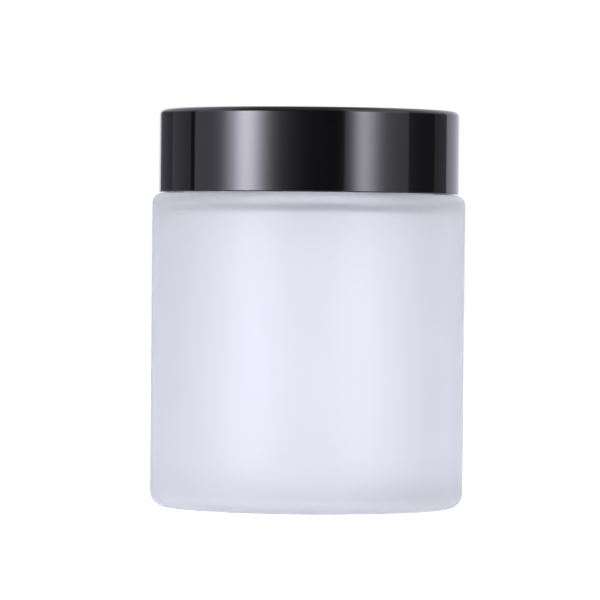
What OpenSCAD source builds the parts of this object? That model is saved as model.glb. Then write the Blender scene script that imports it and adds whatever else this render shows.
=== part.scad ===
// Cosmetic cream jar: thick-walled frosted glass jar with a screw lid.
// The lid is a glossy outer shell over a threaded inner cap with a foam wad, and a
// sealing disc with a pull tab closes the mouth of the glass.
// Units are millimetres. Z is the jar's axis and the jar stands on z = 0.

/* [Jar] */
// Outer diameter of the glass body
jar_d = 60; // [46:1:90]
// Height of the glass body from its foot to its shoulder
body_h = 60; // [30:1:120]
// Thickness of the glass side wall
wall_t = 6; // [3:0.5:7]
// Thickness of the glass under the cavity, measured at the foot ring
base_t = 5.2; // [4:0.1:10]
// Thickness of the glass over the cavity, at the shoulder
shoulder_t = 3.2; // [2.5:0.1:5]
// Radius of the outer heel
heel_r = 3; // [1:0.1:5]
// Radius of the outer shoulder edge
shoulder_r = 2; // [0.8:0.1:3]
// Radius where the cavity's floor meets its wall
floor_r = 3; // [1:0.5:10]
// Radius where the cavity's wall meets its roof
roof_r = 0.4; // [0.3:0.1:1.5]
// Height of the hollow pressed into the underside
push_up_h = 1.5; // [0.5:0.1:2.5]
// Width of the flat foot ring between the hollow and the heel
foot_ring_w = 1.9; // [1:0.1:4]

/* [Neck and thread] */
// Height of the glass neck above the shoulder
neck_h = 11.2; // [9:0.1:16]
// Thickness of the glass neck wall
neck_wall_t = 2.8; // [2:0.1:4]
// Rounding on both edges of the glass rim
rim_r = 0.6; // [0.2:0.1:0.9]
// Rise of the thread in one turn
thread_pitch = 4; // [3.4:0.1:4.8]
// Radial height of the thread beads on the glass and in the lid
thread_depth = 1.2; // [0.8:0.1:1.6]
// Width of a thread bead at its root
thread_root_w = 1.8; // [1.2:0.1:2]
// Width of a thread bead at its crest
thread_crest_w = 0.8; // [0.4:0.1:1]
// Turns of thread on the glass neck
neck_thread_turns = 1.25; // [0.75:0.05:1.25]
// Turns of thread inside the lid
lid_thread_turns = 1; // [0.5:0.05:1]
// Glass left plain between the rim and the thread
rim_land = 1.4; // [1:0.1:2]

/* [Sealing disc] */
// Thickness of the disc's flange, floor and tab
disc_t = 0.8; // [0.6:0.1:1.2]
// Thickness of the ring that plugs the mouth
plug_wall_t = 0.9; // [0.6:0.1:1.4]
// Depth of the plug ring below the rim of the glass
plug_depth = 3.8; // [3.2:0.1:6]
// Depth of the dish below the top of the flange
dish_depth = 3; // [2.4:0.1:3.6]
// Width of the pull tab
tab_w = 11; // [6:0.5:16]
// Reach of the pull tab over the dish
tab_reach = 9; // [5:0.5:12]

/* [Lid] */
// Distance from the jar's side in to the lid's side
lid_setback = 1.25; // [0.5:0.05:3]
// Gap between the lid's lower edge and the shoulder
lid_gap = 0.1; // [0.1:0.05:0.5]
// Thickness of the outer shell's side
shell_wall_t = 1.75; // [1.2:0.05:2.5]
// Thickness of the outer shell's top
shell_top_t = 1.8; // [1.2:0.1:3]
// Rounding around the lid's top edge
lid_edge_r = 1; // [0.3:0.1:1.5]
// Thickness of the inner cap's side
insert_wall_t = 1.4; // [1:0.1:2]
// Thickness of the inner cap's top
insert_top_t = 1.2; // [0.8:0.1:2]
// Thickness of the foam wad
wad_t = 1; // [0.6:0.1:2]
// Number of locking ribs between the inner cap and the shell
rib_count = 30; // [12:1:48]
// Width of each locking rib
rib_w = 1; // [0.6:0.1:1.4]
// Height of the locking ribs, which fill the gap to the shell
rib_h = 0.2; // [0.2:0.05:1]

/* [Hidden] */

$fn = 128;
// Extra length that carries a cut past the face it opens
cut_extra = 1;
// How far a thread bead or a fillet reaches into the wall that it grows from
overlap = 0.5;

// Clearances
thread_side_play = 0.4;
thread_flank_play = 0.2;
plug_play = 0.2;
flange_play = 0.2;
wad_play = 0.4;
insert_lift = 1;
bead_play = 0.05;
tab_drop = 0.2;

// Small roundings and the lid's retaining bead
neck_root_r = 0.8;
mouth_edge_r = 0.9;
shell_foot_r = 0.3;
bead_r = 0.25;
plug_edge_r = 0.3;
tab_corner_r = 3;

// Radii, from the outside in
jar_r = jar_d / 2;
cavity_r = jar_r - wall_t;
foot_hollow_r = jar_r - heel_r - foot_ring_w;
lid_r = jar_r - lid_setback;
shell_bore_r = lid_r - shell_wall_t;
insert_r = shell_bore_r - rib_h;
insert_bore_r = insert_r - insert_wall_t;
wad_r = insert_bore_r - wad_play;
thread_r = insert_bore_r - thread_side_play;
neck_r = thread_r - thread_depth;
mouth_r = neck_r - neck_wall_t;
// The roof's fillet can't be wider than the ledge between the wall and the mouth's edge
roof_fillet_r = min(roof_r, cavity_r - mouth_r - mouth_edge_r);
plug_r = mouth_r - plug_play;
dish_r = plug_r - plug_wall_t;
flange_r = neck_r - flange_play;

// Heights, from the foot up
cavity_top_z = body_h - shoulder_t;
lid_foot_z = body_h + lid_gap;
insert_foot_z = body_h + insert_lift;
rim_z = body_h + neck_h;
flange_top_z = rim_z + disc_t;
wad_top_z = flange_top_z + wad_t;
insert_top_z = wad_top_z + insert_top_t;
lid_top_z = insert_top_z + shell_top_t;
dish_floor_z = flange_top_z - dish_depth;
bead_z = insert_foot_z - bead_play - bead_r;

// Radius of the sphere that presses the hollow under the base
push_up_r = (foot_hollow_r * foot_hollow_r + push_up_h * push_up_h) / (2 * push_up_h);
push_up_facets = 720;
bead_facets = 48;

// Thread: both beads follow one helix, and the lid's bead hangs just under the neck's
thread_steps = 48;
runout_turns = 0.09;
// How deep the crest of a faded end lies under the wall's face
faded_crest_sink = 0.1;
neck_thread_z = rim_z - rim_land - thread_root_w / 2 - thread_pitch * neck_thread_turns;
flank_slope = (thread_root_w - thread_crest_w) / 2 / thread_depth;
flank_gap = thread_crest_w + flank_slope * (thread_depth - thread_side_play) + thread_flank_play;
lid_thread_lead_in = 1.4;
lid_helix_z = neck_thread_z - flank_gap;
lid_thread_foot_z = insert_foot_z + lid_thread_lead_in + thread_root_w / 2;
lid_thread_start = (lid_thread_foot_z - lid_helix_z) / thread_pitch;

// Share of full thread height at turn t, fading out over runout_turns at both ends
function runout(t, first, last) =
    min(1, max(0, min(t - first, last - t) / runout_turns));

// One thread section at turn t: root below and above, crest above and below.
// wall_r is the wall that the bead grows from, and side is 1 outwards or -1 inwards.
function thread_section(t, z0, wall_r, side, share) =
    let (
        root_r = wall_r - side * overlap,
        crest_r = wall_r + side * (thread_depth * share - faded_crest_sink * (1 - share)),
        z = z0 + thread_pitch * t,
        a = 360 * t
    )
    [
        [root_r * cos(a), root_r * sin(a), z - thread_root_w / 2],
        [crest_r * cos(a), crest_r * sin(a), z - thread_crest_w / 2],
        [crest_r * cos(a), crest_r * sin(a), z + thread_crest_w / 2],
        [root_r * cos(a), root_r * sin(a), z + thread_root_w / 2]
    ];

// A helical thread bead on a wall of radius wall_r, from turn first to turn last
module thread_bead(z0, wall_r, side, first, last) {
    count = round((last - first) * thread_steps);
    rings = [
        for (i = [0:count])
            let (t = first + (last - first) * i / count)
            thread_section(t, z0, wall_r, side, runout(t, first, last))
    ];
    points = [for (ring = rings) each ring];
    sides = [
        for (i = [0:count - 1])
            for (j = [0:3])
                let (k = (j + 1) % 4)
                each [
                    [4 * i + j, 4 * i + k, 4 * i + 4 + k],
                    [4 * i + j, 4 * i + 4 + k, 4 * i + 4 + j]
                ]
    ];
    ends = [[3, 2, 1, 0], [4 * count, 4 * count + 1, 4 * count + 2, 4 * count + 3]];
    faces = concat(sides, ends);
    // Faces wind the other way round on a bead that grows inwards
    turned = [for (f = faces) [for (n = [len(f) - 1:-1:0]) f[n]]];
    polyhedron(points = points, faces = side > 0 ? faces : turned);
}

// The sliver between a square corner at (x, y) and an arc of radius r inside it.
// right and up give the corner's direction from the arc's centre, 1 or -1.
module corner_sliver(x, y, r, right, up) {
    translate([x - right * r, y - up * r])
        difference() {
            translate([right > 0 ? 0 : -r - cut_extra, up > 0 ? 0 : -r - cut_extra])
                square(r + cut_extra);
            circle(r);
        }
}

// The fillet in an inside corner at (x, y): the arc's centre lies right and up of it
module inside_fillet(x, y, r, right, up) {
    translate([x, y])
        difference() {
            translate([right > 0 ? -overlap : -r, up > 0 ? -overlap : -r])
                square(r + overlap);
            translate([right * r, up * r])
                circle(r);
        }
}

// Half section of the solid glass, before the cavity is taken out
module glass_outline() {
    difference() {
        square([jar_r, body_h]);
        corner_sliver(jar_r, 0, heel_r, 1, -1);
        corner_sliver(jar_r, body_h, shoulder_r, 1, 1);
        translate([0, push_up_h - push_up_r])
            circle(push_up_r, $fn = push_up_facets);
    }
    difference() {
        translate([0, body_h - shoulder_t])
            square([neck_r, neck_h + shoulder_t]);
        corner_sliver(neck_r, rim_z, rim_r, 1, 1);
    }
    inside_fillet(neck_r, body_h, neck_root_r, 1, 1);
}

// Half section of the space inside the glass: the cavity and the mouth above it
module glass_hollow() {
    difference() {
        translate([0, base_t])
            square([cavity_r, cavity_top_z - base_t]);
        corner_sliver(cavity_r, base_t, floor_r, 1, -1);
        corner_sliver(cavity_r, cavity_top_z, roof_fillet_r, 1, 1);
    }
    translate([0, base_t + floor_r])
        square([mouth_r, rim_z + cut_extra - base_t - floor_r]);
    // Rounded edges where the mouth opens into the cavity and at the rim
    difference() {
        translate([mouth_r - cut_extra, cavity_top_z - cut_extra])
            square([cut_extra + mouth_edge_r, cut_extra + mouth_edge_r]);
        translate([mouth_r + mouth_edge_r, cavity_top_z + mouth_edge_r])
            circle(mouth_edge_r);
    }
    difference() {
        translate([mouth_r - cut_extra, rim_z - rim_r])
            square([cut_extra + rim_r, rim_r + cut_extra]);
        translate([mouth_r + rim_r, rim_z - rim_r])
            circle(rim_r);
    }
}

module glass_jar() {
    color([0.9, 0.9, 0.95])
        union() {
            rotate_extrude()
                difference() {
                    glass_outline();
                    glass_hollow();
                }
            thread_bead(neck_thread_z, neck_r, 1, 0, neck_thread_turns);
        }
}

// Half section of the sealing disc: flange, plug ring and dish floor
module disc_outline() {
    difference() {
        union() {
            translate([0, rim_z])
                square([flange_r, disc_t]);
            translate([0, rim_z - plug_depth])
                square([plug_r, plug_depth]);
        }
        translate([0, dish_floor_z])
            square([dish_r, dish_depth + cut_extra]);
        translate([0, rim_z - plug_depth - cut_extra])
            square([dish_r, dish_floor_z - disc_t - rim_z + plug_depth + cut_extra]);
        corner_sliver(plug_r, rim_z - plug_depth, plug_edge_r, 1, -1);
    }
}

// The pull tab: a tongue with a round tip that reaches over the dish from its front wall
module pull_tab() {
    tip_y = tab_reach - dish_r;
    translate([0, 0, flange_top_z - tab_drop - disc_t])
        linear_extrude(disc_t)
            intersection() {
                circle(dish_r + plug_wall_t / 2);
                union() {
                    translate([-tab_w / 2, -plug_r])
                        square([tab_w, tip_y - tab_corner_r + plug_r]);
                    translate([tab_corner_r - tab_w / 2, -plug_r])
                        square([tab_w - 2 * tab_corner_r, tip_y + plug_r]);
                    for (side = [-1, 1])
                        translate([side * (tab_w / 2 - tab_corner_r), tip_y - tab_corner_r])
                            circle(tab_corner_r);
                }
            }
}

module sealing_disc() {
    color([0.97, 0.97, 0.96])
        union() {
            rotate_extrude()
                disc_outline();
            pull_tab();
        }
}

module cap_gasket() {
    color([0.93, 0.93, 0.91])
        translate([0, 0, flange_top_z])
            cylinder(h = wad_t, r = wad_r);
}

// Locking ribs around the inner cap: they end on the shell's bore
module locking_ribs() {
    rib_foot_z = insert_foot_z + rib_w;
    intersection() {
        translate([0, 0, rib_foot_z])
            difference() {
                cylinder(h = insert_top_z - rib_w - rib_foot_z, r = shell_bore_r);
                translate([0, 0, -cut_extra])
                    cylinder(h = insert_top_z, r = insert_r - insert_wall_t / 2);
            }
        for (i = [0:rib_count - 1])
            rotate(360 * i / rib_count)
                translate([0, -rib_w / 2, body_h])
                    cube([lid_r, rib_w, insert_top_z - body_h]);
    }
}

module cap_insert() {
    color([0.95, 0.95, 0.93])
        union() {
            rotate_extrude()
                difference() {
                    translate([0, insert_foot_z])
                        square([insert_r, insert_top_z - insert_foot_z]);
                    translate([0, insert_foot_z - cut_extra])
                        square([insert_bore_r, wad_top_z - insert_foot_z + cut_extra]);
                }
            locking_ribs();
            thread_bead(
                lid_helix_z, insert_bore_r, -1,
                lid_thread_start, lid_thread_start + lid_thread_turns
            );
        }
}

module cap_shell() {
    color([0.06, 0.06, 0.065])
        rotate_extrude() {
            difference() {
                translate([0, lid_foot_z])
                    square([lid_r, lid_top_z - lid_foot_z]);
                translate([0, lid_foot_z - cut_extra])
                    square([shell_bore_r, insert_top_z - lid_foot_z + cut_extra]);
                corner_sliver(lid_r, lid_top_z, lid_edge_r, 1, 1);
                corner_sliver(lid_r, lid_foot_z, shell_foot_r, 1, -1);
            }
            // Bead that the inner cap snaps past and rests on
            intersection() {
                translate([shell_bore_r, bead_z])
                    circle(bead_r, $fn = bead_facets);
                translate([shell_bore_r - bead_r, bead_z - bead_r])
                    square([bead_r + shell_wall_t / 2, 2 * bead_r]);
            }
        }
}

glass_jar();
sealing_disc();
cap_gasket();
cap_insert();
cap_shell();
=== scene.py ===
"""Cosmetic cream jar: a frosted glass jar with a glossy black screw lid.

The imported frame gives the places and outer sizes. Each operator builds one piece, or the stage.
"""

import math

import bmesh
import bpy
from mathutils import Euler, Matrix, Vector


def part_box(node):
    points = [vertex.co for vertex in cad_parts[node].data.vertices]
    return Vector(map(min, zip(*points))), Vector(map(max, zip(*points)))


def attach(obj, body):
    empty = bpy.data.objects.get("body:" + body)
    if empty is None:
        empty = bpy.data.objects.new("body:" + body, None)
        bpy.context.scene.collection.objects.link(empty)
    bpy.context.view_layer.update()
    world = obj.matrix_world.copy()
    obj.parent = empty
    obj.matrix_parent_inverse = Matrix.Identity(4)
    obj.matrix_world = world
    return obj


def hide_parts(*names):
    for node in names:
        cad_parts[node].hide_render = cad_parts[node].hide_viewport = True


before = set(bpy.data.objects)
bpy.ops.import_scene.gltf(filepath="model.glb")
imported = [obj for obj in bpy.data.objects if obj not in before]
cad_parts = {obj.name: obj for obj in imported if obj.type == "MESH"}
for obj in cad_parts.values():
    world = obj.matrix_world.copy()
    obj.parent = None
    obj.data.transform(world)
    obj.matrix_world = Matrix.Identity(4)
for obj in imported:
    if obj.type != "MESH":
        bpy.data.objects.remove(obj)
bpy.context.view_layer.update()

bl_info = {
    "name": "Cream jar",
    "version": (1, 0, 0),
    "blender": (4, 5, 0),
    "location": "View3D > Sidebar > Cream jar",
    "description": "Builds a frosted glass cream jar with its screw lid, wad and sealing disc",
    "category": "Add Mesh",
}

JAR_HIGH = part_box("glass_jar")[1]
DISC_LOW, DISC_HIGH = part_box("sealing_disc")
WAD_LOW, WAD_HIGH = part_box("cap_gasket")
INSERT_LOW, INSERT_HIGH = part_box("cap_insert")
SHELL_LOW, SHELL_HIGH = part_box("cap_shell")

MM = 0.001
TURN = 2 * math.pi
# Two lengths nearer than this are the same
CLOSE = 1e-6
# How far from a wall or a floor a vertex may lie and still belong to it
ON_WALL = 0.02 * MM
ON_FLOOR = 0.01 * MM
# Face attribute that tells fire-polished glass from etched glass
POLISHED = "polished"
# Steps in the rounding of one corner
ARC_STEPS = 10
# Distance from a straight run's end to its support point
SUPPORT = 0.12 * MM
# Steps up a wall that carries a thread
THREAD_STEP = 0.12 * MM
# Turns over which a thread fades out at each end
THREAD_FADE = 0.09


# ---------------------------------------------------------------- properties


def length(name, description, default):
    """A length property in metres, given in millimetres."""
    return bpy.props.FloatProperty(
        name=name, description=description, default=default * MM, min=0, unit="LENGTH",
        precision=5,
    )


def colour(name, description, default):
    """A colour property."""
    return bpy.props.FloatVectorProperty(
        name=name, description=description, default=default, min=0, max=1, size=3,
        subtype="COLOR",
    )


class JarSizes(bpy.types.PropertyGroup):
    """Sizes and tint of the glass jar."""

    wall: length("Wall", "Thickness of the side wall", 6)
    base: length("Base", "Thickness of the glass under the cavity", 5.2)
    uneven: length("Uneven base", "Height by which the pressed floor is out of level", 0.9)
    shoulder: length("Shoulder", "Thickness of the glass over the cavity", 3.2)
    heel_round: length("Heel radius", "Rounding of the outer heel", 3)
    shoulder_round: length("Shoulder radius", "Rounding of the outer shoulder", 2)
    floor_round: length("Floor radius", "Rounding between cavity floor and wall", 3)
    roof_round: length("Roof radius", "Rounding between cavity wall and roof", 0.4)
    mouth_round: length("Mouth radius", "Rounding where the mouth opens into the cavity", 0.9)
    neck_round: length("Neck radius", "Rounding at the foot of the neck", 0.8)
    notch_depth: length("Notch depth", "Depth of the small notches round the foot", 0.15)
    hollow: length("Foot hollow", "Height of the hollow under the base", 1.5)
    foot_ring: length("Foot ring", "Width of the ring that the jar stands on", 1.9)
    neck_wall: length("Neck wall", "Thickness of the neck", 2.8)
    rim_round: length("Rim radius", "Rounding of the rim", 0.6)
    lid_gap: length("Lid gap", "Gap between the shoulder and the lid's lower edge", 0.1)
    tint: colour("Glass tint", "Colour of the glass body", (0.914, 0.914, 0.926))


class ThreadSizes(bpy.types.PropertyGroup):
    """The screw thread that the neck and the lid share."""

    pitch: length("Pitch", "Rise of the thread in one turn", 4)
    depth: length("Depth", "Radial height of a thread bead", 1.2)
    root: length("Root width", "Width of a bead where it leaves the wall", 1.8)
    crest: length("Crest width", "Width of a bead at its top", 0.8)
    land: length("Land", "Plain glass between rim and thread", 1.4)
    play: length("Play", "Clearance between a crest and the wall it faces", 0.4)
    flank_play: length("Flank play", "Clearance between the two threads' flanks", 0.2)
    lead_in: length("Lead-in", "Plain wall between the inner cap's foot and its thread", 1.4)
    neck_turns: bpy.props.FloatProperty(
        name="Neck turns", description="Turns of thread on the glass", default=1.25, min=0.5,
    )
    lid_turns: bpy.props.FloatProperty(
        name="Lid turns", description="Turns of thread in the lid", default=1.0, min=0.5,
    )


class LidSizes(bpy.types.PropertyGroup):
    """Sizes and colours of the lid's shell, inner cap, wad and the sealing disc."""

    shell_wall: length("Shell wall", "Thickness of the shell's side", 1.75)
    edge_round: length("Top edge", "Rounding of the shell's top edge", 1.0)
    foot_round: length("Lower edge", "Rounding of the shell's lower edge", 0.15)
    insert_wall: length("Inner cap wall", "Thickness of the inner cap's side", 1.4)
    plastic: length("Disc plastic", "Thickness of the disc's flange, floor and tab", 0.8)
    plug_wall: length("Plug wall", "Thickness of the ring that plugs the mouth", 0.9)
    plug_play: length("Plug play", "Clearance between the plug ring and the mouth", 0.2)
    dish: length("Dish", "Depth of the dish in the sealing disc", 3)
    tab_width: length("Tab width", "Width of the pull tab", 11)
    tab_reach: length("Tab reach", "How far the tab reaches over the dish", 9)
    tab_drop: length("Tab drop", "How far the tab lies below the top of the disc", 0.2)
    tab_round: length("Tab corners", "Rounding of the tab's two corners", 3)
    ribs: bpy.props.IntProperty(
        name="Locking ribs", description="Ribs between inner cap and shell", default=30, min=12,
    )
    rib_width: length("Rib width", "Width of a locking rib", 1)
    rib_height: length("Rib height", "Gap between inner cap and shell that a rib fills", 0.2)
    bead: length("Bead", "Radius of the bead that holds the inner cap in the shell", 0.25)
    bead_play: length("Bead play", "Clearance between that bead and the inner cap's foot", 0.05)
    wad_dent: length("Wad dent", "How deep the disc's flange has pressed into the wad", 0.08)
    shell_colour: colour("Shell", "Colour of the lid's shell", (0.001, 0.001, 0.0012))
    insert_colour: colour("Inner cap", "Colour of the inner cap", (0.8, 0.8, 0.775))
    disc_colour: colour("Disc", "Colour of the sealing disc", (0.86, 0.865, 0.86))
    foam_colour: colour("Foam", "Colour of the wad", (0.8, 0.8, 0.78))


# ---------------------------------------------------------------- node trees


class Value:
    """One socket of a node tree. Arithmetic on it adds Math nodes."""

    def __init__(self, maker, socket):
        self.maker = maker
        self.socket = socket

    def _math(self, operation, *others):
        return self.maker.math(operation, self, *others)

    def __add__(self, other):
        return self._math("ADD", other)

    __radd__ = __add__

    def __sub__(self, other):
        return self._math("SUBTRACT", other)

    def __rsub__(self, other):
        return self.maker.math("SUBTRACT", other, self)

    def __mul__(self, other):
        return self._math("MULTIPLY", other)

    __rmul__ = __mul__

    def __truediv__(self, other):
        return self._math("DIVIDE", other)

    def __neg__(self):
        return self._math("MULTIPLY", -1.0)

class Maker:
    """Adds nodes to one tree."""

    def __init__(self, tree):
        self.tree = tree

    def add(self, kind, inputs=None, output=0, **settings):
        """Adds a node, sets its settings, feeds its inputs and returns one of its outputs."""
        node = self.tree.nodes.new(kind)
        for key, value in settings.items():
            setattr(node, key, value)
        for key, value in (inputs or {}).items():
            self.feed(node.inputs[key], value)
        if not node.outputs:
            return node
        return Value(self, node.outputs[output])

    def feed(self, socket, value):
        """Links a Value to a socket, or sets the socket's own number, vector or colour."""
        if isinstance(value, Value):
            self.tree.links.new(value.socket, socket)
        else:
            socket.default_value = value

    def math(self, operation, *values, clamp=False):
        return self.add(
            "ShaderNodeMath", dict(enumerate(values)), operation=operation, use_clamp=clamp,
        )

    def smooth(self, value, low, high):
        """0 below low, 1 above high and a smooth step between."""
        return self.add(
            "ShaderNodeMapRange",
            {"Value": value, "From Min": low, "From Max": high},
            interpolation_type="SMOOTHSTEP",
        )

    def parts(self, vector):
        """The x, y and z of a vector."""
        node = self.add("ShaderNodeSeparateXYZ", {0: vector}).socket.node
        return [Value(self, out) for out in node.outputs]

    def mix(self, share, first, second):
        """A colour between two colours."""
        node = self.tree.nodes.new("ShaderNodeMix")
        node.data_type = "RGBA"
        for socket, value in zip((node.inputs[0], node.inputs[6], node.inputs[7]),
                                 (share, first, second)):
            self.feed(socket, value)
        return Value(self, node.outputs[2])


def rgba(values):
    return (*values, 1.0)


def new_material(name):
    """An empty material with its maker."""
    material = bpy.data.materials.new(name)
    material.use_nodes = True
    material.node_tree.nodes.clear()
    return material, Maker(material.node_tree)


def principled(maker, volume=None, **inputs):
    """Ends a material with a Principled shader. Underscores in the names stand for spaces."""
    shader = maker.add(
        "ShaderNodeBsdfPrincipled", {k.replace("_", " "): v for k, v in inputs.items()},
    )
    ends = {"Surface": shader}
    if volume:
        ends["Volume"] = volume
    maker.add("ShaderNodeOutputMaterial", ends)


def glass_body(maker):
    """The faint green-blue that thick glass takes from its iron."""
    return maker.add(
        "ShaderNodeVolumeAbsorption", {"Color": (0.14, 0.3, 0.3, 1), "Density": 5.0},
    )


def noise(maker, scale, detail=2.0, roughness=0.5, stretch=(1, 1, 1)):
    """Noise on the piece's own coordinates. scale is in waves a metre."""
    place = maker.add("ShaderNodeTexCoord", output=3)
    if tuple(stretch) != (1, 1, 1):
        place = maker.add("ShaderNodeMapping", {"Vector": place, "Scale": stretch})
    return maker.add(
        "ShaderNodeTexNoise",
        {"Vector": place, "Scale": scale, "Detail": detail, "Roughness": roughness},
    )


def bump(maker, height, strength, distance):
    """A Normal from a height, where a height of 1 stands distance metres proud."""
    return maker.add(
        "ShaderNodeBump", {"Height": height, "Strength": strength, "Distance": distance},
    )


# ---------------------------------------------------------------- materials


def frosted_glass(tint):
    """Thick glass: acid-etched where POLISHED is 0, fire-polished where it is 1."""
    material, m = new_material("frosted_glass")
    cloud = noise(m, 90, 3)
    grain = noise(m, 5200, 2, 0.6)
    polished = m.add("ShaderNodeAttribute", output=2, attribute_name=POLISHED)
    etched = 1 - polished
    pale = tuple(min(1.0, c * 1.01) for c in tint)
    principled(
        m,
        glass_body(m),
        Base_Color=m.mix(cloud, rgba(tint), rgba(pale)),
        Roughness=etched * (0.51 + 0.06 * cloud) + polished * 0.17,
        Normal=bump(m, grain * etched, 0.25, 0.02 * MM),
        IOR=1.5,
        Transmission_Weight=0.84,
    )
    return material


def polished_black(base):
    """Mirror-polished black moulded plastic with a trace of orange peel."""
    material, m = new_material("polished_black")
    peel = noise(m, 420, 2)
    haze = noise(m, 160, 3)
    lift = tuple(c * 1.5 for c in base)
    principled(
        m,
        Base_Color=m.mix(haze, rgba(base), rgba(lift)),
        Roughness=0.04 + 0.02 * haze,
        Normal=bump(m, peel, 0.2, 0.004 * MM),
        IOR=1.5,
    )
    return material


def moulded_white(name, base, roughness, grain_scale):
    """Satin moulded polyolefin, a little translucent."""
    material, m = new_material(name)
    cloud = noise(m, 140, 3)
    grain = noise(m, grain_scale, 2, 0.6)
    dull = tuple(c * 0.95 for c in base)
    principled(
        m,
        Base_Color=m.mix(cloud, rgba(dull), rgba(base)),
        Roughness=roughness + 0.1 * cloud,
        Normal=bump(m, grain, 0.35, 0.02 * MM),
        IOR=1.5,
        Subsurface_Weight=0.35,
        Subsurface_Radius=(0.9, 0.9, 0.8),
        Subsurface_Scale=1.2 * MM,
    )
    return material


def foam_sheet(base):
    """Closed-cell foam: fine bubbles under a thin skin. The grooves between the bubbles are
    painted darker, as painted shade.
    """
    material, m = new_material("wad_foam")
    place = m.add("ShaderNodeTexCoord", output=3)
    cells = m.add("ShaderNodeTexVoronoi", {"Vector": place, "Scale": 1900.0})
    shade = m.smooth(cells, 0.0, 0.75)
    # painted shade: the colour darkens towards each bubble's edge, in the grooves that the bump
    # sinks
    groove_shade = tuple(c * 0.84 for c in base)
    principled(
        m,
        Base_Color=m.mix(shade, rgba(base), rgba(groove_shade)),
        Roughness=0.72 + 0.12 * shade,
        Normal=bump(m, 1 - shade, 0.6, 0.06 * MM),
        IOR=1.45,
        Subsurface_Weight=0.3,
        Subsurface_Radius=(1, 1, 1),
        Subsurface_Scale=0.8 * MM,
    )
    return material


# ---------------------------------------------------------------- lathe work


def rounded(corners):
    """Points of an outline from its corners (radius, height, rounding), each with a tag.

    The rounding at a corner is a true arc. Straight runs get a support point near each end, so
    that smooth shading stays flat along them. The outline runs from the first corner to the last.
    """
    points = []
    for i, (x, z, r, tag) in enumerate(corners):
        here = Vector((x, z))
        if r <= 0 or i in (0, len(corners) - 1):
            points.append((here, tag))
            continue
        back = (Vector(corners[i - 1][:2]) - here).normalized()
        ahead = (Vector(corners[i + 1][:2]) - here).normalized()
        half = back.angle(ahead) / 2
        centre = here + (back + ahead).normalized() * r / math.sin(half)
        start = here + back * r / math.tan(half) - centre
        sweep = math.pi - 2 * half
        side = 1 if back.x * ahead.y - back.y * ahead.x < 0 else -1
        for k in range(ARC_STEPS + 1):
            a = side * sweep * k / ARC_STEPS
            turned = Vector((
                start.x * math.cos(a) - start.y * math.sin(a),
                start.x * math.sin(a) + start.y * math.cos(a),
            ))
            points.append((centre + turned, tag))
    return supported(points)


def supported(points):
    """Adds the support points to an outline's long straight runs."""
    out = [points[0]]
    for (a, _), (b, tag) in zip(points, points[1:]):
        run = (b - a).length
        if run < CLOSE:
            continue
        if run > 4 * SUPPORT:
            step = (b - a) * (SUPPORT / run)
            out += [(a + step, tag), (b - step, tag)]
        out.append((b, tag))
    return out


def graded(points, on_wall):
    """Splits an outline's runs along a threaded wall into short steps."""
    out = [points[0]]
    for (a, _), (b, tag) in zip(points, points[1:]):
        if on_wall(a) and on_wall(b):
            count = math.ceil((b - a).length / THREAD_STEP)
            out += [(a.lerp(b, k / count), tag) for k in range(1, count)]
        out.append((b, tag))
    return out


def lathe(name, points, segments):
    """Turns an outline about Z into a closed mesh. An end on the axis becomes a pole.

    Faces tagged POLISHED in the outline get 1 in the attribute of that name, the others 0.
    """
    made = bmesh.new()
    polished = made.faces.layers.float.new(POLISHED)
    rings = []
    for p, _ in points:
        if p.x < CLOSE:
            rings.append([made.verts.new((0, 0, p.y))])
        else:
            rings.append([
                made.verts.new((p.x * math.cos(a), p.x * math.sin(a), p.y))
                for a in (TURN * k / segments for k in range(segments))
            ])
    for (ring, following, (_, tag)) in zip(rings, rings[1:], points[1:]):
        for k in range(segments):
            n = (k + 1) % segments
            if len(ring) == 1:
                corners = (ring[0], following[n], following[k])
            elif len(following) == 1:
                corners = (ring[k], ring[n], following[0])
            else:
                corners = (ring[k], ring[n], following[n], following[k])
            face = made.faces.new(corners)
            face.smooth = True
            face[polished] = float(tag == POLISHED)
    bmesh.ops.recalc_face_normals(made, faces=made.faces)
    mesh = bpy.data.meshes.new(name)
    made.to_mesh(mesh)
    made.free()
    return mesh


def place(name, mesh, material):
    """Links a mesh to the scene as an object of one material."""
    mesh.materials.append(material)
    piece = bpy.data.objects.new(name, mesh)
    bpy.context.scene.collection.objects.link(piece)
    return piece


def shaped(piece, tree, **values):
    """Runs a geometry tree on a piece and keeps the result as its plain mesh."""
    modifier = piece.modifiers.new(tree.name, "NODES")
    modifier.node_group = tree
    for item in tree.interface.items_tree:
        if item.item_type == "SOCKET" and item.in_out == "INPUT" and item.name in values:
            modifier[item.identifier] = values[item.name]
    bpy.context.view_layer.update()
    seen = piece.evaluated_get(bpy.context.evaluated_depsgraph_get())
    mesh = bpy.data.meshes.new_from_object(seen)
    piece.modifiers.remove(modifier)
    piece.data = mesh


# ---------------------------------------------------------------- geometry trees


def new_geometry_tree(name, sizes):
    """A maker for a new geometry tree, and the tree's inputs: the geometry and named floats."""
    tree = bpy.data.node_groups.new(name, "GeometryNodeTree")
    tree.interface.new_socket("Geometry", in_out="INPUT", socket_type="NodeSocketGeometry")
    for size in sizes:
        tree.interface.new_socket(size, in_out="INPUT", socket_type="NodeSocketFloat")
    tree.interface.new_socket("Geometry", in_out="OUTPUT", socket_type="NodeSocketGeometry")
    m = Maker(tree)
    entry = tree.nodes.new("NodeGroupInput")
    return m, {out.name: Value(m, out) for out in entry.outputs if out.name}


def end_geometry_tree(m, geometry, material):
    """Ends a geometry tree: instances made real, then the piece's material on every face."""
    real = m.add("GeometryNodeRealizeInstances", {0: geometry})
    m.add("NodeGroupOutput", {0: m.add(
        "GeometryNodeSetMaterial", {"Geometry": real, "Material": material},
    )})
    return m.tree


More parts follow.
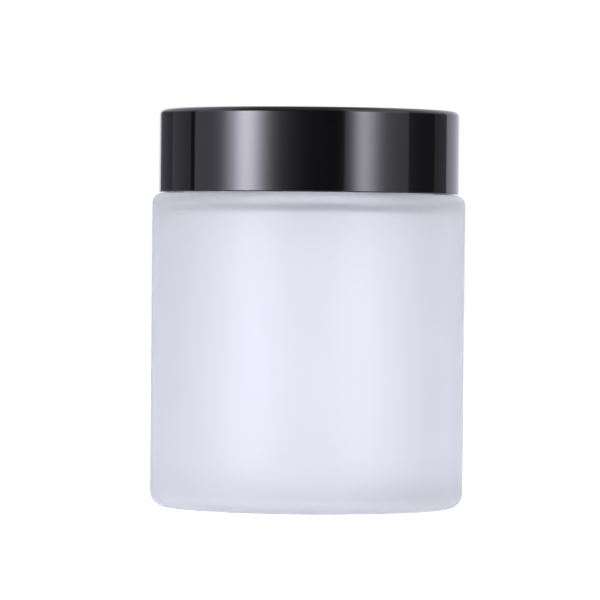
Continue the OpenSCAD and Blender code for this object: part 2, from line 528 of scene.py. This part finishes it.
def thread_tree(material):
    """Raises a helical bead from the wall at radius Wall, outwards or, with Side -1, inwards.

    Every point of the wall finds the turn of the helix nearest to it, and rises by the bead's
    height at that distance. The bead fades out at both ends.
    """
    sizes = ("Wall", "Side", "Start", "First", "Last", "Pitch", "Depth", "Root", "Crest")
    m, at = new_geometry_tree("Helical thread", sizes)
    position = m.add("GeometryNodeInputPosition")
    x, y, z = m.parts(position)
    radius = m.math("SQRT", x * x + y * y)
    part_turn = m.math("FRACT", m.math("ARCTAN2", y, x) / TURN + 1.0)
    turns = (z - at["Start"]) / at["Pitch"]
    whole = m.math("ROUND", turns - part_turn)
    along = whole + part_turn
    off = m.math("ABSOLUTE", turns - along) * at["Pitch"]
    flank = (at["Root"] - at["Crest"]) / 2
    rise = m.math("MULTIPLY", (at["Root"] / 2 - off) / flank, 1.0, clamp=True)
    left = m.math("MINIMUM", along - at["First"], at["Last"] - along) / THREAD_FADE
    share = m.math("MULTIPLY", left, 1.0, clamp=True)
    rounded_rise = rise * rise * (3 - 2 * rise)
    offset = at["Depth"] * rounded_rise * share * at["Side"] / radius
    vector = m.add("ShaderNodeCombineXYZ", {0: x * offset, 1: y * offset, 2: 0.0})
    near = m.math("COMPARE", radius, at["Wall"], ON_WALL)
    moved = m.add(
        "GeometryNodeSetPosition",
        {"Geometry": at["Geometry"], "Selection": near, "Offset": vector},
    )
    return end_geometry_tree(m, moved, material)


def foot_notch_tree(material):
    """Presses a ring of small radial notches into the foot, as on moulded glass."""
    sizes = ("Inner", "Outer", "Count", "Depth")
    m, at = new_geometry_tree("Foot notches", sizes)
    x, y, z = m.parts(m.add("GeometryNodeInputPosition"))
    radius = m.math("SQRT", x * x + y * y)
    wave = m.math("COSINE", m.math("ARCTAN2", y, x) * at["Count"])
    middle = (at["Inner"] + at["Outer"]) / 2
    reach = (at["Outer"] - at["Inner"]) / 2
    share = 1 - m.math("ABSOLUTE", radius - middle) / reach
    rise = m.math("MULTIPLY", share * 3, 1.0, clamp=True) * (0.5 - 0.5 * wave) * at["Depth"]
    vector = m.add("ShaderNodeCombineXYZ", {0: 0.0, 1: 0.0, 2: rise})
    low = m.math("LESS_THAN", z, ON_FLOOR)
    moved = m.add(
        "GeometryNodeSetPosition",
        {"Geometry": at["Geometry"], "Selection": low, "Offset": vector},
    )
    return end_geometry_tree(m, moved, material)


def uneven_floor_tree(material):
    """Tips the cavity's floor a little, as pressed glass seldom sets level."""
    sizes = ("Wall", "Floor", "Reach", "Rise")
    m, at = new_geometry_tree("Uneven floor", sizes)
    x, y, z = m.parts(m.add("GeometryNodeInputPosition"))
    radius = m.math("SQRT", x * x + y * y)
    height = z - at["Floor"]
    share = 1 - m.smooth(height, 0.0, at["Reach"])
    rise = share * at["Rise"] / 2 * x / at["Wall"]
    vector = m.add("ShaderNodeCombineXYZ", {0: 0.0, 1: 0.0, 2: rise})
    inside = m.math("LESS_THAN", radius, at["Wall"] + ON_WALL)
    above = m.math("GREATER_THAN", height, -ON_FLOOR)
    moved = m.add(
        "GeometryNodeSetPosition",
        {"Geometry": at["Geometry"], "Selection": inside * above, "Offset": vector},
    )
    return end_geometry_tree(m, moved, material)


def rib_tree(material):
    """Adds upright ribs around a turned piece."""
    sizes = ("Count", "Radius", "Height", "Width", "Depth", "Middle")
    m, at = new_geometry_tree("Locking ribs", sizes)
    bar = m.add("GeometryNodeMeshCube", {
        "Size": m.add("ShaderNodeCombineXYZ", {0: at["Depth"], 1: at["Width"], 2: at["Height"]}),
    })
    ring = m.add(
        "GeometryNodeMeshCircle", {"Vertices": at["Count"], "Radius": at["Radius"]},
    )
    lifted = m.add("GeometryNodeTransform", {
        "Geometry": ring, "Translation": m.add("ShaderNodeCombineXYZ", {2: at["Middle"]}),
    })
    turn = m.add("GeometryNodeInputIndex") / at["Count"] * TURN
    bars = m.add("GeometryNodeInstanceOnPoints", {
        "Points": lifted, "Instance": bar,
        "Rotation": m.add("ShaderNodeCombineXYZ", {0: 0.0, 1: 0.0, 2: turn}),
    })
    both = m.add("GeometryNodeJoinGeometry", {0: at["Geometry"]})
    m.feed(both.socket.node.inputs[0], bars)
    return end_geometry_tree(m, both, material)


# ---------------------------------------------------------------- shared places


def radii():
    """The closure's radii, from the shell inwards, and the thread's heights."""
    jar = bpy.context.scene.cream_jar
    thread = bpy.context.scene.cream_thread
    lid = bpy.context.scene.cream_lid
    shell = SHELL_HIGH.x
    shell_bore = shell - lid.shell_wall
    insert = shell_bore - lid.rib_height
    insert_bore = insert - lid.insert_wall
    neck = insert_bore - thread.play - thread.depth
    rim = JAR_HIGH.z
    slope = (thread.root - thread.crest) / 2 / thread.depth
    gap = thread.crest + slope * (thread.depth - thread.play) + thread.flank_play
    neck_start = rim - thread.land - thread.root / 2 - thread.pitch * thread.neck_turns
    lid_start = neck_start - gap
    first = (INSERT_LOW.z + thread.lead_in + thread.root / 2 - lid_start) / thread.pitch
    return {
        "shell": shell, "shell_bore": shell_bore, "insert": insert,
        "insert_bore": insert_bore, "neck": neck, "mouth": neck - jar.neck_wall,
        "rim": rim, "neck_start": neck_start, "lid_start": lid_start, "lid_first": first,
    }


def thread_values(thread, wall, side, start, first, last):
    """The thread tree's inputs for one wall."""
    return {
        "Wall": wall, "Side": side, "Start": start, "First": first, "Last": last,
        "Pitch": thread.pitch, "Depth": thread.depth, "Root": thread.root,
        "Crest": thread.crest,
    }


# ---------------------------------------------------------------- operators


# Steps across the hollow under the jar and across its foot ring, and the notches in that ring
DOME_STEPS = 12
FOOT_STEPS = 6
FOOT_NOTCHES = 72


class CREAM_OT_glass_jar(bpy.types.Operator):
    """Build the frosted glass jar with its threaded neck"""

    bl_idname = "cream.glass_jar"
    bl_label = "Glass jar"

    def execute(self, context):
        jar = context.scene.cream_jar
        thread = context.scene.cream_thread
        at = radii()
        body = JAR_HIGH.x
        shoulder = SHELL_LOW.z - jar.lid_gap
        roof = shoulder - jar.shoulder
        cavity = body - jar.wall
        hollow_edge = body - jar.heel_round - jar.foot_ring
        sphere = (hollow_edge ** 2 + jar.hollow ** 2) / (2 * jar.hollow)
        dome = [
            (Vector((r, math.sqrt(sphere ** 2 - r ** 2) - sphere + jar.hollow)), "")
            for r in (hollow_edge * k / DOME_STEPS for k in range(DOME_STEPS))
        ]
        outside = rounded([
            (hollow_edge, 0, 0, ""),
            (body, 0, jar.heel_round, ""),
            (body, shoulder, jar.shoulder_round, ""),
            (at["neck"], shoulder, jar.neck_round, ""),
            (at["neck"], at["rim"], jar.rim_round, ""),
            (at["mouth"], at["rim"], jar.rim_round, POLISHED),
            (at["mouth"], roof, jar.mouth_round, POLISHED),
            (cavity, roof, jar.roof_round, POLISHED),
            (cavity, jar.base, jar.floor_round, POLISHED),
            (0, jar.base, 0, POLISHED),
        ])

        def on_neck(p):
            return abs(p.x - at["neck"]) < CLOSE

        outside = graded(outside, on_neck)
        foot = [
            (Vector((hollow_edge + jar.foot_ring * k / FOOT_STEPS, 0)), "")
            for k in range(1, FOOT_STEPS)
        ]
        points = dome + outside[:1] + foot + outside[1:]
        mesh = lathe("glass_jar_body", points, 4 * FOOT_NOTCHES)
        glass = frosted_glass(jar.tint)
        piece = place("glass_jar_body", mesh, glass)
        shaped(piece, thread_tree(glass), **thread_values(
            thread, at["neck"], 1.0, at["neck_start"], 0.0, thread.neck_turns,
        ))
        shaped(
            piece, foot_notch_tree(glass), Inner=hollow_edge, Outer=body - jar.heel_round,
            Count=float(FOOT_NOTCHES), Depth=jar.notch_depth,
        )
        shaped(
            piece, uneven_floor_tree(glass), Wall=cavity, Floor=jar.base,
            Reach=1.5 * jar.floor_round, Rise=jar.uneven,
        )
        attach(piece, "jar")
        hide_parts("glass_jar")
        return {"FINISHED"}


class CREAM_OT_sealing_disc(bpy.types.Operator):
    """Build the white sealing disc with its plug ring and pull tab"""

    bl_idname = "cream.sealing_disc"
    bl_label = "Sealing disc"

    def execute(self, context):
        lid = context.scene.cream_lid
        at = radii()
        flange = DISC_HIGH.x
        plug = at["mouth"] - lid.plug_play
        dish = plug - lid.plug_wall
        floor_top = DISC_HIGH.z - lid.dish
        floor_under = floor_top - lid.plastic
        small = 0.15 * MM
        points = rounded([
            (0, floor_top, 0, ""),
            (dish, floor_top, 0.5 * MM, ""),
            (dish, DISC_HIGH.z, 0.3 * MM, ""),
            (flange, DISC_HIGH.z, 0.3 * MM, ""),
            (flange, at["rim"], small, ""),
            (plug, at["rim"], small, ""),
            (plug, DISC_LOW.z, 0.35 * MM, ""),
            (dish, DISC_LOW.z, 0.2 * MM, ""),
            (dish, floor_under, small, ""),
            (0, floor_under, 0, ""),
        ])
        mesh = lathe("sealing_disc_body", points, 192)
        made = bmesh.new()
        made.from_mesh(mesh)
        add_tab(made, lid, dish)
        made.to_mesh(mesh)
        made.free()
        piece = place("sealing_disc_body", mesh, moulded_white(
            "disc_plastic", lid.disc_colour, 0.38, 2600,
        ))
        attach(piece, "disc")
        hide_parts("sealing_disc")
        return {"FINISHED"}


def add_tab(made, lid, dish):
    """Adds the pull tab to the disc: a tongue rooted in the dish's front wall."""
    top = DISC_HIGH.z - lid.tab_drop
    low = top - lid.plastic
    corner = lid.tab_round
    half = lid.tab_width / 2
    root = -dish - lid.plug_wall / 2
    tip = lid.tab_reach - dish
    outline = [(-half, root), (half, root)]
    for side, first in ((1, 0), (-1, 90)):
        for k in range(ARC_STEPS + 1):
            a = math.radians(first + 90 * k / ARC_STEPS)
            outline.append((
                side * (half - corner) + corner * math.cos(a),
                tip - corner + corner * math.sin(a),
            ))
    faces = []
    lower = [made.verts.new((x, y, low)) for x, y in outline]
    upper = [made.verts.new((x, y, top)) for x, y in outline]
    faces.append(made.faces.new(upper))
    faces.append(made.faces.new(list(reversed(lower))))
    count = len(outline)
    for k in range(count):
        n = (k + 1) % count
        faces.append(made.faces.new((lower[k], lower[n], upper[n], upper[k])))
    rims = {e for f in faces[:2] for e in f.edges}
    bevelled = bmesh.ops.bevel(
        made, geom=list(rims), offset=0.22 * MM, segments=3, profile=0.5, affect="EDGES",
    )
    for face in faces[:2] + bevelled["faces"]:
        if face.is_valid:
            face.smooth = True


class CREAM_OT_cap_gasket(bpy.types.Operator):
    """Build the foam wad that seals the lid"""

    bl_idname = "cream.cap_gasket"
    bl_label = "Foam wad"

    def execute(self, context):
        lid = context.scene.cream_lid
        radius, low, top = WAD_HIGH.x, WAD_LOW.z, WAD_HIGH.z
        flange = DISC_HIGH.x
        dent = lid.wad_dent
        inner = radii()["mouth"]
        soft = 0.15 * MM
        points = rounded([
            (0, top, 0, ""),
            (radius, top, soft, ""),
            (radius, low, soft, ""),
            (flange + soft, low, soft, ""),
            (flange, low + dent, soft / 2, ""),
            (inner, low + dent, soft / 2, ""),
            (inner - soft, low, soft, ""),
            (0, low, 0, ""),
        ])
        piece = place(
            "cap_gasket_wad", lathe("cap_gasket_wad", points, 192), foam_sheet(lid.foam_colour),
        )
        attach(piece, "gasket")
        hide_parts("cap_gasket")
        return {"FINISHED"}


class CREAM_OT_cap_insert(bpy.types.Operator):
    """Build the threaded inner cap with its locking ribs"""

    bl_idname = "cream.cap_insert"
    bl_label = "Inner cap"

    def execute(self, context):
        lid = context.scene.cream_lid
        thread = context.scene.cream_thread
        at = radii()
        foot, top, seat = INSERT_LOW.z, INSERT_HIGH.z, WAD_HIGH.z
        soft = 0.25 * MM
        points = rounded([
            (0, top, 0, ""),
            (at["insert"], top, soft, ""),
            (at["insert"], foot, soft, ""),
            (at["insert_bore"], foot, soft, ""),
            (at["insert_bore"], seat, soft, ""),
            (0, seat, 0, ""),
        ])

        def on_bore(p):
            return abs(p.x - at["insert_bore"]) < CLOSE

        points = graded(points, on_bore)
        material = moulded_white("insert_plastic", lid.insert_colour, 0.42, 2200)
        piece = place(
            "cap_insert_body", lathe("cap_insert_body", points, 256), material,
        )
        shaped(piece, thread_tree(material), **thread_values(
            thread, at["insert_bore"], -1.0, at["lid_start"], at["lid_first"],
            at["lid_first"] + thread.lid_turns,
        ))
        rib_low, rib_top = foot + lid.rib_width, top - lid.rib_width
        shaped(
            piece, rib_tree(material), Count=float(lid.ribs), Radius=at["insert"],
            Height=rib_top - rib_low, Width=lid.rib_width, Depth=2 * lid.rib_height - ON_WALL,
            Middle=(rib_low + rib_top) / 2,
        )
        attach(piece, "cap")
        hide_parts("cap_insert")
        return {"FINISHED"}


class CREAM_OT_cap_shell(bpy.types.Operator):
    """Build the polished black outer shell of the lid"""

    bl_idname = "cream.cap_shell"
    bl_label = "Lid shell"

    def execute(self, context):
        lid = context.scene.cream_lid
        at = radii()
        foot, top, under = SHELL_LOW.z, SHELL_HIGH.z, INSERT_HIGH.z
        bead = lid.bead
        bead_z = INSERT_LOW.z - lid.bead_play - bead
        points = rounded([
            (0, top, 0, ""),
            (at["shell"], top, lid.edge_round, ""),
            (at["shell"], foot, lid.foot_round, ""),
            (at["shell_bore"], foot, 0.1 * MM, ""),
            (at["shell_bore"], bead_z - bead, 0.05 * MM, ""),
            (at["shell_bore"] - bead, bead_z, 0.15 * MM, ""),
            (at["shell_bore"], bead_z + bead, 0.05 * MM, ""),
            (at["shell_bore"], under, 0.1 * MM, ""),
            (0, under, 0, ""),
        ])
        piece = place(
            "cap_shell_body", lathe("cap_shell_body", points, 360),
            polished_black(lid.shell_colour),
        )
        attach(piece, "cap")
        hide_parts("cap_shell")
        return {"FINISHED"}


# ---------------------------------------------------------------- stage


TABLE_RADIUS = 3.0
# The table lies this far under the foot, so that the two faces don't fight
TABLE_DROP = 0.02 * MM
# The camera stands in front, and its angles are in radians
CAMERA_DISTANCE = 0.892
CAMERA_HEIGHT = 0.0487
CAMERA_LENS = 278.8
CAMERA_PITCH = 0.0101
CAMERA_YAW = 0.0017
CAMERA_ROLL = 0.0093

# Flat white and grey sheets round the studio: the bearings of their two edges, measured from the
# camera's side towards +X, their brightness, and the heights in degrees between which they hang
SHEETS = (
    # sheet beside the key softbox, and two grey walls beyond it
    (-98, -62, 0.75, -30, 30),
    (-130, -103, 0.28, -30, 50),
    (-162, -130, 0.1, -30, 50),
    # pale upper wall all along the left
    (-165, -66, 0.7, 14, 60),
    # sheet that the second softbox stands before, cut off sharply towards the camera
    (27, 82, 0.5, -30, 30),
    (30, 84, 1.1, 12, 60),
    # white backdrop behind the jar, and the grey edge of it at the right
    (131, 199, 1.0, -90, 60),
    (112, 131, 0.16, -30, 50),
    (84, 131, 0.7, 14, 60),
)
# Softboxes: bearing of the middle, how far the light spreads to its left and its right, brightness
SOFTBOXES = (
    (-49, 12.5, 12.5, 10.0),
    (-49, 20.0, 27.0, 1.5),
    (42, 8.5, 11.0, 4.8),
    (42, 8.5, 30.0, 0.9),
)
SOFTBOX_HEIGHT = 5.0
SOFTBOX_SPREAD = 10.0
SHEET_SIDE_BLUR = 1.0
SHEET_END_BLUR = 8.0
AMBIENT = 0.08
CEILING = 0.45
CEILING_EDGE = (15.0, 45.0)
LIGHT_TINT = (1.0, 0.98, 1.13)


def band(m, value, low, high, blur):
    """1 where a value is between low and high, and 0 elsewhere, with blurred ends."""
    return m.smooth(value, low - blur, low + blur) - m.smooth(value, high - blur, high + blur)


def studio_light(m):
    """Brightness of the studio in each direction."""
    x, y, z = m.parts(m.add("ShaderNodeTexCoord", output=0))
    bearing = m.math("ARCTAN2", x, -y) * (360 / TURN)
    height = m.math("ARCSINE", z) * (360 / TURN)
    light = AMBIENT + CEILING * m.smooth(height, *CEILING_EDGE)
    for left, right, strength, low, high in SHEETS:
        side = m.math("WRAP", bearing, 360.0, 0.0) if right > 180 else bearing
        light = light + strength * band(m, side, left, right, SHEET_SIDE_BLUR) * band(
            m, height, low, high, SHEET_END_BLUR,
        )
    rise = (height - SOFTBOX_HEIGHT) / SOFTBOX_SPREAD
    hung = m.math("EXPONENT", -(rise * rise)) * math.exp((SOFTBOX_HEIGHT / SOFTBOX_SPREAD) ** 2)
    for middle, left, right, strength in SOFTBOXES:
        off = bearing - middle
        off = m.math("MINIMUM", off, 0.0) / left + m.math("MAXIMUM", off, 0.0) / right
        light = light + strength * m.math("EXPONENT", -(off * off)) * hung
    return light


def studio_world(scene):
    """Lights the stage from all round. The camera itself sees plain white."""
    world = bpy.data.worlds.new("studio")
    world.use_nodes = True
    world.node_tree.nodes.clear()
    m = Maker(world.node_tree)
    studio = m.add(
        "ShaderNodeBackground", {"Color": rgba(LIGHT_TINT), "Strength": studio_light(m)},
    )
    white = m.add("ShaderNodeBackground", {"Color": (1, 1, 1, 1), "Strength": 1.0})
    seen = m.add("ShaderNodeLightPath", output=0)
    m.add("ShaderNodeOutputWorld", {
        "Surface": m.add("ShaderNodeMixShader", {0: seen, 1: studio, 2: white}),
    })
    scene.world = world


def floor():
    """A plain white table that glows softly. It can't be seen from below."""
    material, m = new_material("table")
    weave = noise(m, 40, 2)
    top = m.add("ShaderNodeBsdfPrincipled", {
        "Base Color": m.mix(weave, (0.1, 0.1, 0.1, 1), (0.12, 0.12, 0.12, 1)),
        "Roughness": 0.7 + 0.1 * weave,
        "Specular IOR Level": 0.0,
        "Emission Color": (1, 1, 1.1, 1),
        "Emission Strength": 1.08,
    })
    below = m.add("ShaderNodeNewGeometry", output="Backfacing")
    m.add("ShaderNodeOutputMaterial", {
        "Surface": m.add("ShaderNodeMixShader", {
            0: below, 1: top, 2: m.add("ShaderNodeBsdfTransparent"),
        }),
    })
    made = bmesh.new()
    bmesh.ops.create_circle(made, cap_ends=True, segments=96, radius=TABLE_RADIUS)
    mesh = bpy.data.meshes.new("table")
    made.to_mesh(mesh)
    made.free()
    table = place("table", mesh, material)
    table.location.z = -TABLE_DROP


class CREAM_OT_stage(bpy.types.Operator):
    """Set up the white table, the studio light and the camera"""

    bl_idname = "cream.stage"
    bl_label = "Stage"

    def execute(self, context):
        scene = context.scene
        floor()
        studio_world(scene)
        camera = bpy.data.objects.new("camera", bpy.data.cameras.new("camera"))
        camera.data.lens = CAMERA_LENS
        camera.data.clip_start = 0.01
        camera.data.clip_end = 20
        camera.location = (0, -CAMERA_DISTANCE, CAMERA_HEIGHT)
        aim = Euler((math.pi / 2 - CAMERA_PITCH, 0, CAMERA_YAW)).to_quaternion()
        camera.rotation_mode = "QUATERNION"
        camera.rotation_quaternion = aim @ Euler((0, 0, CAMERA_ROLL)).to_quaternion()
        scene.collection.objects.link(camera)
        scene.camera = camera
        scene.view_settings.view_transform = "Standard"
        return {"FINISHED"}


BUILDERS = (
    CREAM_OT_stage,
    CREAM_OT_glass_jar,
    CREAM_OT_sealing_disc,
    CREAM_OT_cap_gasket,
    CREAM_OT_cap_insert,
    CREAM_OT_cap_shell,
)


class CREAM_PT_panel(bpy.types.Panel):
    """Lists the jar's pieces"""

    bl_idname = "CREAM_PT_panel"
    bl_label = "Cream jar"
    bl_space_type = "VIEW_3D"
    bl_region_type = "UI"
    bl_category = "Cream jar"

    def draw(self, context):
        for builder in BUILDERS:
            self.layout.operator(builder.bl_idname)


CLASSES = (JarSizes, ThreadSizes, LidSizes, *BUILDERS, CREAM_PT_panel)


def register():
    for cls in CLASSES:
        bpy.utils.register_class(cls)
    bpy.types.Scene.cream_jar = bpy.props.PointerProperty(type=JarSizes)
    bpy.types.Scene.cream_thread = bpy.props.PointerProperty(type=ThreadSizes)
    bpy.types.Scene.cream_lid = bpy.props.PointerProperty(type=LidSizes)


def unregister():
    del bpy.types.Scene.cream_lid
    del bpy.types.Scene.cream_thread
    del bpy.types.Scene.cream_jar
    for cls in reversed(CLASSES):
        bpy.utils.unregister_class(cls)


def main():
    register()
    bpy.ops.cream.stage()
    bpy.ops.cream.glass_jar()
    bpy.ops.cream.sealing_disc()
    bpy.ops.cream.cap_gasket()
    bpy.ops.cream.cap_insert()
    bpy.ops.cream.cap_shell()


if __name__ == "__main__":
    main()
